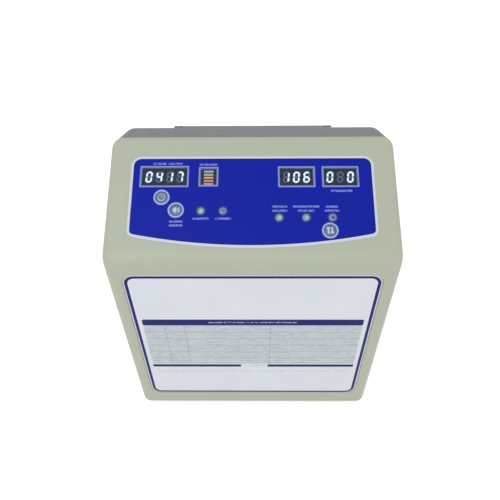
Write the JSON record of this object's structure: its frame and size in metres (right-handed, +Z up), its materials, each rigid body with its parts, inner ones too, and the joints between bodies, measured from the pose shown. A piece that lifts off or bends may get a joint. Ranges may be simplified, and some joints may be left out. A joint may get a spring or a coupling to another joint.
{
  "type": "compression therapy pump",
  "caption": "Tabletop air pump for leg compression therapy: sloping control console, labelled upright face, rear hose outlets, mains inlet and fold-out bed hook.",
  "frame": {"origin": "on the surface that the feet stand on, under the centre of the overall box", "axes": "+Z up, -Y out of the labelled face, +X to the right as seen from the front"},
  "size_m": [0.1876, 0.133, 0.2139],
  "materials": {
    "case_beige": "fine satin texture",
    "case_grey": "fine satin texture",
    "blue_film": "printed film, semi-gloss",
    "label_film": "printed film, satin",
    "display_body": "black, satin",
    "display_window": "tinted, clear",
    "lit_segment": "lit",
    "charge_segment": "lit",
    "button_cap": "satin",
    "lamp_lens": "diffusing",
    "lamp_lens_off": "diffusing",
    "circuit_board": "solder mask",
    "ribbon": "satin",
    "sheet_metal": "brushed",
    "transformer_core": "varnished",
    "battery_wrap": "shrink film",
    "rubber_black": "matte",
    "pump_casting": "cast, tumbled",
    "motor_can": "zinc plated",
    "turned_steel": "turned",
    "rod_plastic": "moulded",
    "coil_wrap": "moulded",
    "air_tube": "translucent",
    "outlet_plastic": "moulded",
    "latch_plastic": "moulded",
    "inlet_plastic": "moulded",
    "pin_metal": "nickel plated",
    "rocker_plastic": "satin",
    "filter_foam": "open foam",
    "plate_metal": "satin",
    "hook_plastic": "moulded",
    "wire_sleeve": "satin"
  },
  "bodies": {
    "case": {"front_shell": "case_beige", "rear_shell": "case_grey", "control_film": "blue_film", "face_label": "label_film", "display_modules": "display_body", "display_windows": "display_window", "counter_digits": "lit_segment", "mode_digits": "lit_segment", "level_digits": "lit_segment", "charge_bars": "charge_segment", "mains_lamp": "lamp_lens", "battery_lamp": "lamp_lens_off", "high_lamp": "lamp_lens_off", "low_lamp": "lamp_lens_off", "fault_lamp": "lamp_lens_off", "display_board": "circuit_board", "ribbon_cable": "ribbon", "main_board": "circuit_board", "chassis_tray": "sheet_metal", "power_board": "circuit_board", "power_transformer": "transformer_core", "battery_pack": "battery_wrap", "battery_strap": "sheet_metal", "pump_plate": "sheet_metal", "pump_mounts": "rubber_black", "pump_housing": "pump_casting", "pump_motor": "motor_can", "pump_diaphragm": "rubber_black", "pump_head": "pump_casting", "valve_manifold": "rod_plastic", "valve_coils": "coil_wrap", "air_tubes": "air_tube", "hose_outlets": "outlet_plastic", "mains_inlet": "inlet_plastic", "inlet_pins": "pin_metal", "fuse_holders": "inlet_plastic", "switch_frame": "inlet_plastic", "vent_cover": "case_grey", "air_filter": "filter_foam", "rating_plate": "plate_metal", "hook_brackets": "case_grey", "hook_pins": "turned_steel", "back_bumpers": "rubber_black", "rubber_feet": "rubber_black", "case_screws": "turned_steel", "machine_screws": "turned_steel", "wiring": "wire_sleeve"},
    "time_button": {"time_button": "button_cap"},
    "mute_button": {"mute_button": "button_cap"},
    "level_button": {"level_button": "button_cap"},
    "power_rocker": {"power_rocker": "rocker_plastic"},
    "bed_hook": {"bed_hook": "hook_plastic", "hook_pads": "rubber_black"},
    "pump_crank": {"pump_crank": "turned_steel"},
    "connecting_rod": {"connecting_rod": "rod_plastic"},
    "left_plunger": {"left_plunger": "turned_steel"},
    "right_plunger": {"right_plunger": "turned_steel"},
    "left_latch": {"left_latch": "latch_plastic"},
    "right_latch": {"right_latch": "latch_plastic"}
  },
  "joints": [
    {"name": "time_press", "type": "slide", "parent": "case", "child": "time_button", "axis": [0, 0.5, -0.866], "range_m": [0, 0.0005], "stiffness_N_per_m": 3000},
    {"name": "mute_press", "type": "slide", "parent": "case", "child": "mute_button", "axis": [0, 0.5, -0.866], "range_m": [0, 0.0005], "stiffness_N_per_m": 3000},
    {"name": "level_press", "type": "slide", "parent": "case", "child": "level_button", "axis": [0, 0.5, -0.866], "range_m": [0, 0.0005], "stiffness_N_per_m": 3000},
    {"name": "rocker_tilt", "type": "hinge", "parent": "case", "child": "power_rocker", "pos_m": [-0.068, 0.0505, 0.077], "axis": [1, 0, 0], "range_deg": [0, 16]},
    {"name": "hook_fold", "type": "hinge", "parent": "case", "child": "bed_hook", "pos_m": [0, 0.0575, 0.1895], "axis": [1, 0, 0], "range_deg": [0, 90]},
    {"name": "crank_turn", "type": "hinge", "parent": "case", "child": "pump_crank", "pos_m": [0.005, 0.0115, 0.044], "axis": [1, 0, 0], "continuous": true},
    {"name": "rod_pivot", "type": "hinge", "parent": "pump_crank", "child": "connecting_rod", "pos_m": [0.005, 0.0115, 0.0455], "axis": [1, 0, 0], "continuous": true},
    {"name": "left_valve", "type": "slide", "parent": "case", "child": "left_plunger", "axis": [0, -1, 0], "range_m": [0, 0.0012], "stiffness_N_per_m": 400},
    {"name": "right_valve", "type": "slide", "parent": "case", "child": "right_plunger", "axis": [0, -1, 0], "range_m": [0, 0.0012], "stiffness_N_per_m": 400},
    {"name": "left_latch_press", "type": "slide", "parent": "case", "child": "left_latch", "axis": [0, 0, -1], "range_m": [0, 0.0012], "stiffness_N_per_m": 800},
    {"name": "right_latch_press", "type": "slide", "parent": "case", "child": "right_latch", "axis": [0, 0, -1], "range_m": [0, 0.0012], "stiffness_N_per_m": 800}
  ],
  "couplings": [
    {"joint": "rod_pivot", "follows": "crank_turn", "ratio": -1}
  ]
}
